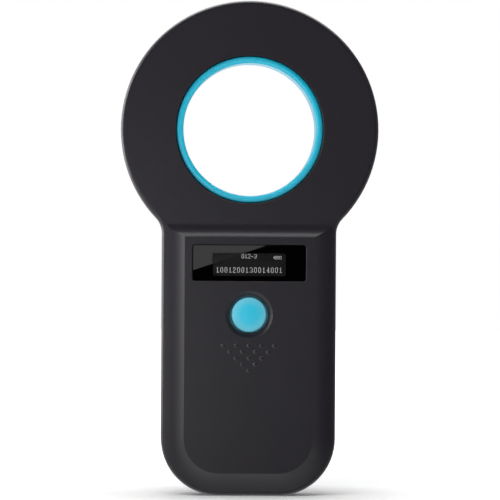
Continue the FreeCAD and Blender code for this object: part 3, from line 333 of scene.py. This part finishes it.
def display_glass(name):
    """Unlit display: smoky polariser over a faint grid of pixels."""
    n = Nodes(name)
    cloud = n.noise(300.0, detail=2.0)
    grid = n.add("ShaderNodeTexVoronoi", feature="F1", distance="CHEBYCHEV")
    grid.inputs["Scale"].default_value = 1 / PIXEL_PITCH
    grid.inputs["Randomness"].default_value = 0.0
    n.link(n.place, grid.inputs["Vector"])
    cell = n.ramp(grid.outputs["Distance"], 0.30, 0.48, 1.0, 0.0)
    tone = n.blend(cell, (0.0070, 0.0070, 0.0073), (0.0105, 0.0105, 0.0110))
    n.surface(tone, n.ramp(cloud, 0.3, 0.7, 0.30, 0.36), n.bump(cell, 1e-6))
    n.set(Specular_IOR_Level=0.15, Coat_Weight=0.08, Coat_Roughness=0.01)
    return n.material


def lit_pixels(name):
    """Glowing display pixels, a little uneven from pixel to pixel."""
    n = Nodes(name)
    uneven = n.noise(4000.0, detail=1.0)
    tone = n.blend(uneven, (0.66, 0.66, 0.65), (0.84, 0.84, 0.83))
    n.surface(tone, n.ramp(uneven, 0.0, 1.0, 0.4, 0.5))
    n.link(tone, n.bsdf.inputs["Emission Color"])
    n.set(Emission_Strength=0.38)
    return n.material


def board_laminate(name):
    """Solder mask over glass-fibre laminate: the weave shows faintly through the green."""
    n = Nodes(name)
    weave_x = n.noise(2500.0, detail=1.0, stretch=(1.0, 1.0, 0.1))
    weave_z = n.noise(2500.0, detail=1.0, stretch=(0.1, 1.0, 1.0))
    cloud = n.noise(120.0, detail=3.0)
    tone = n.blend(cloud, (0.008, 0.082, 0.034), (0.014, 0.125, 0.052))
    relief = n.bump(weave_z, 3e-6, under=n.bump(weave_x, 3e-6))
    n.surface(tone, n.ramp(weave_x, 0.3, 0.7, 0.22, 0.34), relief)
    return n.material


def wound_copper(name):
    """Enamelled copper wire: every strand runs round the coil's axis, so bands lie along Y."""
    n = Nodes(name)
    strands = n.add("ShaderNodeTexWave", wave_type="BANDS", bands_direction="Y")
    strands.inputs["Scale"].default_value = 900.0
    strands.inputs["Distortion"].default_value = 0.6
    n.link(n.place, strands.inputs["Vector"])
    cloud = n.noise(500.0, detail=3.0)
    tone = n.blend(cloud, (0.50, 0.16, 0.055), (0.72, 0.27, 0.10))
    n.surface(tone, n.ramp(cloud, 0.3, 0.7, 0.22, 0.34), n.bump(strands.outputs["Fac"], 3e-5))
    n.set(Metallic=1.0, Coat_Weight=0.6, Coat_Roughness=0.15)
    return n.material


def pouch_foil(name):
    """Silver pouch laminate with the soft dents of a wrapped cell."""
    n = Nodes(name)
    dents = n.noise(160.0, detail=3.0, rough=0.6)
    fine = n.noise(3000.0, detail=2.0)
    tone = n.blend(fine, (0.58, 0.59, 0.60), (0.68, 0.69, 0.70))
    n.surface(tone, n.ramp(fine, 0.3, 0.7, 0.34, 0.46), n.bump(dents, 1.2e-4, strength=0.6))
    n.set(Metallic=0.85)
    return n.material


def printed_label(name):
    """Silvered polyester label with a satin, finely brushed face."""
    n = Nodes(name)
    fine = n.noise(5000.0, detail=2.0, stretch=(1.0, 1.0, 0.08))
    cloud = n.noise(80.0, detail=2.0)
    tone = n.blend(cloud, (0.36, 0.36, 0.37), (0.42, 0.42, 0.43))
    n.surface(tone, n.ramp(fine, 0.3, 0.7, 0.36, 0.48), n.bump(fine, 1.5e-6))
    n.set(Metallic=0.55)
    return n.material


def soft_sheath(name, colour):
    """Silicone or PVC lead insulation, with a fine unevenness left by extrusion."""
    n = Nodes(name)
    fine = n.noise(6000.0, detail=2.0)
    cloud = n.noise(400.0, detail=2.0)
    tone = n.blend(cloud, scaled(colour, 0.85), scaled(colour, 1.15))
    n.surface(tone, n.ramp(fine, 0.3, 0.7, 0.4, 0.55), n.bump(fine, 4e-6))
    return n.material


def fired(name, first, last, roughness):
    """Ceramic, ferrite or foam: granular colour and a dry surface."""
    n = Nodes(name)
    grains = n.noise(9000.0, detail=3.0, rough=0.7)
    gloss = n.ramp(grains, 0.3, 0.7, roughness - 0.06, roughness + 0.06)
    n.surface(n.blend(grains, first, last), gloss, n.bump(grains, 4e-6))
    return n.material


MATERIALS = {
    "shell_black": lambda s: moulded(s, (0.0086, 0.0066, 0.0110), 0.40, grain=3.2e3, depth=1.2e-5),
    "ring_blue": ring_blue,
    "button_blue": cap_blue,
    "lens_clear": lens_material,
    "mask_black": printed_ink,
    "display_glass": display_glass,
    "display_light": lit_pixels,
    "ribbon_amber": lambda s: moulded(s, (0.26, 0.10, 0.015), 0.30, depth=1e-6),
    "holder_black": lambda s: moulded(s, (0.020, 0.020, 0.021), 0.50),
    "switch_black": lambda s: moulded(s, (0.022, 0.022, 0.024), 0.42),
    "stem_brown": lambda s: moulded(s, (0.17, 0.075, 0.035), 0.40),
    "spring_steel": lambda s: metal(s, (0.60, 0.59, 0.57), 0.28, grain=(0.1, 1.0, 1.0)),
    "tinned_metal": lambda s: metal(s, (0.66, 0.66, 0.64), 0.30),
    "board_green": board_laminate,
    "pad_gold": lambda s: metal(s, (0.86, 0.60, 0.24), 0.24),
    "print_white": lambda s: moulded(s, (0.74, 0.74, 0.72), 0.60, depth=2e-6),
    "chip_black": lambda s: moulded(s, (0.018, 0.018, 0.019), 0.55, grain=8e3, depth=4e-6),
    "ceramic_tan": lambda s: fired(s, (0.30, 0.19, 0.10), (0.44, 0.30, 0.18), 0.55),
    "ferrite_grey": lambda s: fired(s, (0.035, 0.035, 0.037), (0.075, 0.075, 0.078), 0.62),
    "screw_steel": lambda s: metal(s, (0.34, 0.34, 0.35), 0.32, grain=(1.0, 0.2, 1.0)),
    "socket_steel": lambda s: metal(s, (0.62, 0.62, 0.61), 0.30, grain=(1.0, 1.0, 0.1)),
    "bobbin_nylon": lambda s: moulded(s, (0.62, 0.58, 0.48), 0.45),
    "winding_copper": wound_copper,
    "battery_foil": pouch_foil,
    "tape_white": lambda s: fired(s, (0.62, 0.62, 0.60), (0.74, 0.74, 0.72), 0.85),
    "connector_cream": lambda s: moulded(s, (0.68, 0.63, 0.50), 0.42),
    "lead_red": lambda s: soft_sheath(s, (0.48, 0.012, 0.010)),
    "lead_black": lambda s: soft_sheath(s, (0.015, 0.015, 0.016)),
    "label_silver": printed_label,
}


def paint_cad(materials):
    """Gives each CAD node the material of its slot in the record."""
    slots = {part["node"]: part["material_slot"] for part in frame["record"]["subparts"]}
    for node, piece in frame["nodes"].items():
        for slot in piece.material_slots:
            slot.material = materials[slots[node]]


# ------------------------------------------------------------------ mesh helpers
def new_piece(name, mesh_builder, materials, slot):
    """A mesh piece on the housing, built by a function that fills a bmesh."""
    mesh = bpy.data.meshes.new(name)
    shape = bmesh.new()
    mesh_builder(shape)
    bmesh.ops.recalc_face_normals(shape, faces=shape.faces)
    shape.to_mesh(mesh)
    shape.free()
    piece = bpy.data.objects.new(name, mesh)
    SCENE.collection.objects.link(piece)
    mesh.materials.append(materials[slot])
    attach(piece, "housing")


def add_block(shape, low, high):
    """A closed box between two corners."""
    made = bmesh.ops.create_cube(shape, size=1.0)
    low, high = Vector(low), Vector(high)
    size = high - low
    matrix = Matrix.Translation((low + high) / 2) @ Matrix.Diagonal((*size, 1))
    bmesh.ops.transform(shape, matrix=matrix, verts=made["verts"])


# ------------------------------------------------------------------ the lit display
DIGITS = {
    "0": "011110 100001 100001 100001 100001 100001 100001 100001 100001 100001 011110",
    "1": "000100 001100 010100 000100 000100 000100 000100 000100 000100 000100 011111",
    "2": "011110 100001 100001 000001 000010 000100 001000 010000 100000 100000 111111",
    "3": "011110 100001 000001 000001 000001 001110 000001 000001 000001 100001 011110",
    "4": "000010 000110 001010 001010 010010 010010 100010 111111 000010 000010 000111",
    "5": "111111 100000 100000 100000 111110 000001 000001 000001 000001 100001 011110",
    "6": "001110 010000 100000 100000 101110 110001 100001 100001 100001 100001 011110",
    "7": "111111 100001 000001 000010 000010 000100 000100 001000 001000 001000 001000",
    "8": "011110 100001 100001 100001 010010 001100 010010 100001 100001 100001 011110",
    "9": "011110 100001 100001 100001 100001 100011 011101 000001 000001 000010 011100",
    "-": "000000 000000 000000 000000 000000 111110 000000 000000 000000 000000 000000",
}
BIG_LINE = "1001200130014001"
SMALL_LINE = "012-3"
BIG_STEP = 8                 # pixels from one digit to the next
SMALL_STEP = 6
BIG_ROWS = (0, 1, 2, 3, 4, 5, 7, 8, 9, 10)   # rows of a digit that the big size keeps
SMALL_ROWS = (0, 1, 3, 4, 5, 6, 9, 10)       # rows and columns that the small size keeps
DIGIT_COLUMNS = (0, 1, 3, 4, 5)
BATTERY = (
    "001111111111111",
    "001000000000001",
    "111011011011001",
    "111011011011001",
    "001000000000001",
    "001111111111111",
)


def text_cells(line, step, rows, columns):
    """Lit cells of a line of digits, as (column, row) counted from its middle, rows upwards."""
    width = step * (len(line) - 1) + len(columns)
    cells = []
    for place, sign in enumerate(line):
        pattern = DIGITS[sign].split()
        for down, row in enumerate(rows):
            for across, column in enumerate(columns):
                if pattern[row][column] == "1":
                    cells.append((place * step + across - (width - 1) / 2, (len(rows) - 1) / 2 - down))
    return cells


def icon_cells(pattern):
    """Lit cells of an icon, counted in the same way."""
    tall, wide = len(pattern), len(pattern[0])
    return [
        (across - (wide - 1) / 2, (tall - 1) / 2 - down)
        for down in range(tall) for across in range(wide) if pattern[down][across] == "1"]


def display_pixels(materials):
    """Every lit pixel is its own small raised tile on the display's glass."""
    front_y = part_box("oled_panel")[0].y
    half = PIXEL_SIZE / 2
    groups = [
        (text_cells(BIG_LINE, BIG_STEP, BIG_ROWS, DIGIT_COLUMNS), 0.0, BIG_TEXT_Z),
        (text_cells(SMALL_LINE, SMALL_STEP, SMALL_ROWS, DIGIT_COLUMNS), 0.0, SMALL_TEXT_Z),
        (icon_cells(BATTERY), BATTERY_X, BATTERY_Z),
    ]

    def build(shape):
        for cells, mid_x, mid_z in groups:
            for column, row in cells:
                x, z = mid_x + column * PIXEL_PITCH, mid_z + row * PIXEL_PITCH
                low = (x - half, front_y - PIXEL_RISE, z - half)
                add_block(shape, low, (x + half, front_y, z + half))

    new_piece("display_pixels", build, materials, "display_light")


# ------------------------------------------------------------------ printing
def add_frame(shape, low, high, line):
    """A rectangle's four lines inside two corners, which lie the ink's thickness apart in Y."""
    for x in (low.x, high.x - line):
        add_block(shape, (x, low.y, low.z), (x + line, high.y, high.z))
    for z in (low.z, high.z - line):
        add_block(shape, (low.x + line, low.y, z), (high.x - line, high.y, z + line))


def label_print(materials):
    """Generic print on the rear label, read from behind: a frame, rules, a row of bars and ten digits."""
    low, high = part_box("rear_label")
    middle = (low + high) / 2
    ink = Vector((0, INK, 0))
    margin = Vector((LABEL_MARGIN, 0, LABEL_MARGIN))
    left, right = middle.x + LABEL_PRINT_W / 2, middle.x - LABEL_PRINT_W / 2

    def build(shape):
        corner = Vector((low.x, high.y, low.z))
        add_frame(shape, corner + margin, high + ink - margin, LABEL_LINE)
        for rise in LABEL_RULES:
            z = middle.z + rise
            add_block(shape, (right, high.y, z), (left, high.y + INK, z + LABEL_LINE))
        x = left
        for bar in range(LABEL_BARS):    # bars and gaps of one to three steps
            wide = BAR_STEP * (1 + bar * 7 % 3)
            z = middle.z + LABEL_BARS_Z
            add_block(shape, (x - wide, high.y, z), (x, high.y + INK, z + LABEL_BARS_H))
            x -= wide + BAR_STEP * (1 + bar * 5 % 3)
        half = LABEL_PIXEL / 2
        for column, row in text_cells("0123456789", BIG_STEP, range(11), range(6)):
            x, z = middle.x - column * LABEL_PIXEL, middle.z + LABEL_DIGITS_Z + row * LABEL_PIXEL
            add_block(shape, (x - half, high.y, z - half), (x + half, high.y + INK, z + half))

    new_piece("label_print", build, materials, "mask_black")


def board_print(materials):
    """Silkscreen on the circuit board: four corner marks and a dot round each larger component."""
    board_low, board_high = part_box("main_board")

    def build(shape):
        for node in PRINTED_ROUND:
            low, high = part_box(node)
            behind = low.y + high.y > board_low.y + board_high.y
            y = board_high.y if behind else board_low.y - INK
            for sx, x in ((-1, low.x - MARK_GAP), (1, high.x + MARK_GAP)):
                for sz, z in ((-1, low.z - MARK_GAP), (1, high.z + MARK_GAP)):
                    corner_mark(shape, x, y, z, sx, sz)
            x, z = low.x - 2 * MARK_GAP, high.z + 2 * MARK_GAP
            add_block(shape, (x - MARK_LINE, y, z - MARK_LINE), (x + MARK_LINE, y + INK, z + MARK_LINE))

    new_piece("board_print", build, materials, "print_white")


def corner_mark(shape, x, y, z, sx, sz):
    """An L of printed line whose arms point back along the component."""
    for arm_x, arm_z in ((MARK_ARM, MARK_LINE), (MARK_LINE, MARK_ARM)):
        ends_x, ends_z = sorted((x, x - sx * arm_x)), sorted((z, z - sz * arm_z))
        add_block(shape, (ends_x[0], y, ends_z[0]), (ends_x[1], y + INK, ends_z[1]))


# ------------------------------------------------------------------ studio
def studio_floor():
    """Seamless white floor that glows more away from the scanner, so that it has no horizon; the glow
    fading out close to the scanner is a painted shadow round its foot.
    """
    mesh = bpy.data.meshes.new("studio_floor")
    shape = bmesh.new()
    bmesh.ops.create_grid(shape, x_segments=1, y_segments=1, size=1.0)
    shape.to_mesh(mesh)
    shape.free()
    floor = bpy.data.objects.new("studio_floor", mesh)
    floor.scale = (FLOOR_HALF_W, FLOOR_HALF_D, 1.0)
    floor.location = (0, FLOOR_HALF_D - FLOOR_FRONT, 0)
    SCENE.collection.objects.link(floor)
    n = Nodes("studio_floor")
    tone = n.blend(n.noise(3.0), (0.90, 0.90, 0.905), (0.92, 0.92, 0.925))
    n.surface(tone, n.ramp(n.noise(20.0), 0.0, 1.0, 0.6, 0.7))
    away = n.add("ShaderNodeVectorMath", operation="LENGTH")
    n.link(n.add("ShaderNodeNewGeometry").outputs["Position"], away.inputs[0])
    glow = n.add("ShaderNodeMath", operation="ADD")
    # glow that fades out close to the scanner: a painted shadow round its foot
    n.link(n.ramp(away.outputs["Value"], *PAINTED_SHADOW_FROM_TO, 0.0, PAINTED_SHADOW_GLOW), glow.inputs[0])
    n.link(n.ramp(away.outputs["Value"], *FAR_GLOW_FROM_TO, 0.0, FAR_GLOW), glow.inputs[1])
    n.link(glow.outputs[0], n.bsdf.inputs["Emission Strength"])
    n.set(Specular_IOR_Level=0.2, Emission_Color=(1, 1, 1, 1))
    mesh.materials.append(n.material)
    floor.visible_glossy = False


def softbox(name, place, facing, width, height, radiance):
    """A rectangular lamp at a place, shining along a direction with that radiance; its width is level."""
    lamp = bpy.data.objects.new(name, bpy.data.lights.new(name, "AREA"))
    SCENE.collection.objects.link(lamp)
    lamp.location = place
    lamp.rotation_euler = Vector(facing).to_track_quat("-Z", "Y").to_euler()
    lamp.visible_camera = False
    lamp.data.shape = "RECTANGLE"
    lamp.data.size, lamp.data.size_y = width, height
    lamp.data.energy = radiance * math.pi * width * height
    return lamp


def lights():
    """Three softboxes that only show as sheen, a large matt fill from the front, and the lens's card."""
    middle = Vector(LAMP_AIM)
    left = softbox("left_softbox", LEFT_PLACE, (1, 0, 0), *LEFT_SIZE, LEFT_RADIANCE)
    top = softbox("top_softbox", TOP_PLACE, middle - Vector(TOP_PLACE), *TOP_SIZE, TOP_RADIANCE)
    near = softbox("near_softbox", NEAR_PLACE, middle - Vector(NEAR_PLACE), *NEAR_SIZE, NEAR_RADIANCE)
    for lamp in (left, top, near):
        lamp.visible_diffuse = False
    fill = softbox("front_fill", FILL_PLACE, middle - Vector(FILL_PLACE), *FILL_SIZE, FILL_RADIANCE)
    fill.visible_glossy = False
    card_in_lens()


def card_in_lens():
    """A dim card beside the camera, seen as a slanted sheen in the display's lens and in nothing else.

    Its lower edge is placed by the mirror law: a point on the lens shows the point twice as far off on the
    other side, in the plane of the camera.
    """
    eye = SCENE.camera.location
    low, high = (Vector((2 * x - eye.x, 2 * z - eye.z)) for x, z in SHEEN_EDGE)
    along = (high - low).normalized()
    up = Vector((-along.y, along.x))
    middle = low + along * CARD_ALONG + up * (CARD_HEIGHT / 2)
    place = (middle.x, eye.y - CARD_BEHIND, middle.y)
    card = softbox("lens_card", place, (0, 1, 0), CARD_WIDTH, CARD_HEIGHT, SHEEN)
    card.rotation_euler.rotate_axis("Z", math.atan2(along.y, along.x))
    card.visible_diffuse = False
    card.visible_shadow = False


def studio_world():
    """White to look at. As a light: dark towards the camera, bright to the sides, below and behind."""
    world = bpy.data.worlds.new("studio")
    SCENE.world = world
    world.use_nodes = True
    tree = world.node_tree
    tree.nodes.clear()

    def add(kind, **values):
        node = tree.nodes.new(kind)
        for key, value in values.items():
            setattr(node, key, value)
        return node

    def smooth(source, low, high, first, last):
        node = add("ShaderNodeMapRange", clamp=True, interpolation_type="SMOOTHSTEP")
        for key, value in zip(("From Min", "From Max", "To Min", "To Max"), (low, high, first, last)):
            node.inputs[key].default_value = value
        tree.links.new(source, node.inputs["Value"])
        return node.outputs["Result"]

    def join(operation, first, last):
        node = add("ShaderNodeMath", operation=operation)
        tree.links.new(first, node.inputs[0])
        tree.links.new(last, node.inputs[1])
        return node.outputs[0]

    split = add("ShaderNodeSeparateXYZ")
    tree.links.new(add("ShaderNodeTexCoord").outputs["Generated"], split.inputs[0])
    across, depth, height = split.outputs
    front = smooth(depth, *FRONT_FADE, 0.0, 1.0)
    side = smooth(across, *SIDE_FADE, LEFT_WORLD, RIGHT_WORLD)
    above = smooth(height, *ABOVE_FADE, 1.0, ABOVE_WORLD)
    below = smooth(height, *BELOW_FADE, BELOW_WORLD, 1.0)
    around = join("MULTIPLY", join("MULTIPLY", front, side), join("MULTIPLY", above, below))
    behind = smooth(depth, *BACK_FADE, 0.0, 1.0)
    low = smooth(height, *LOW_FADE, LOW_WORLD, 0.0)
    brightest = join("MAXIMUM", join("MAXIMUM", around, behind), low)
    lighting = add("ShaderNodeBackground")
    tree.links.new(brightest, lighting.inputs["Strength"])
    seen = add("ShaderNodeBackground")
    for node in (lighting, seen):
        node.inputs["Color"].default_value = (1, 1, 1, 1)
    mix = add("ShaderNodeMixShader")
    tree.links.new(add("ShaderNodeLightPath").outputs["Is Camera Ray"], mix.inputs[0])
    tree.links.new(lighting.outputs[0], mix.inputs[1])
    tree.links.new(seen.outputs[0], mix.inputs[2])
    tree.links.new(mix.outputs[0], add("ShaderNodeOutputWorld").inputs["Surface"])


def camera():
    """A long lens, level and a little to the scanner's left."""
    front_y = CAD_BOX[0].y
    turn = math.radians(CAMERA_AZIMUTH)
    data = bpy.data.cameras.new("camera")
    data.lens = data.sensor_width * CAMERA_DISTANCE / VIEW_SPAN
    data.clip_start, data.clip_end = 0.05, 20.0
    cam = bpy.data.objects.new("camera", data)
    SCENE.collection.objects.link(cam)
    aim = Vector((CAMERA_AIM_X, front_y, CAMERA_HEIGHT))
    back = Vector((math.sin(turn), -math.cos(turn), 0))
    cam.location = aim + back * CAMERA_DISTANCE
    level = (-back).to_track_quat("-Z", "Y")
    roll = Matrix.Rotation(math.radians(CAMERA_ROLL), 3, "Z").to_quaternion()
    cam.rotation_mode = "QUATERNION"
    cam.rotation_quaternion = level @ roll
    SCENE.camera = cam


def main():
    SCENE.view_settings.view_transform = "Standard"
    camera()
    materials = {slot: make(slot) for slot, make in MATERIALS.items()}
    paint_cad(materials)
    display_pixels(materials)
    label_print(materials)
    board_print(materials)
    studio_floor()
    studio_world()
    lights()


main()
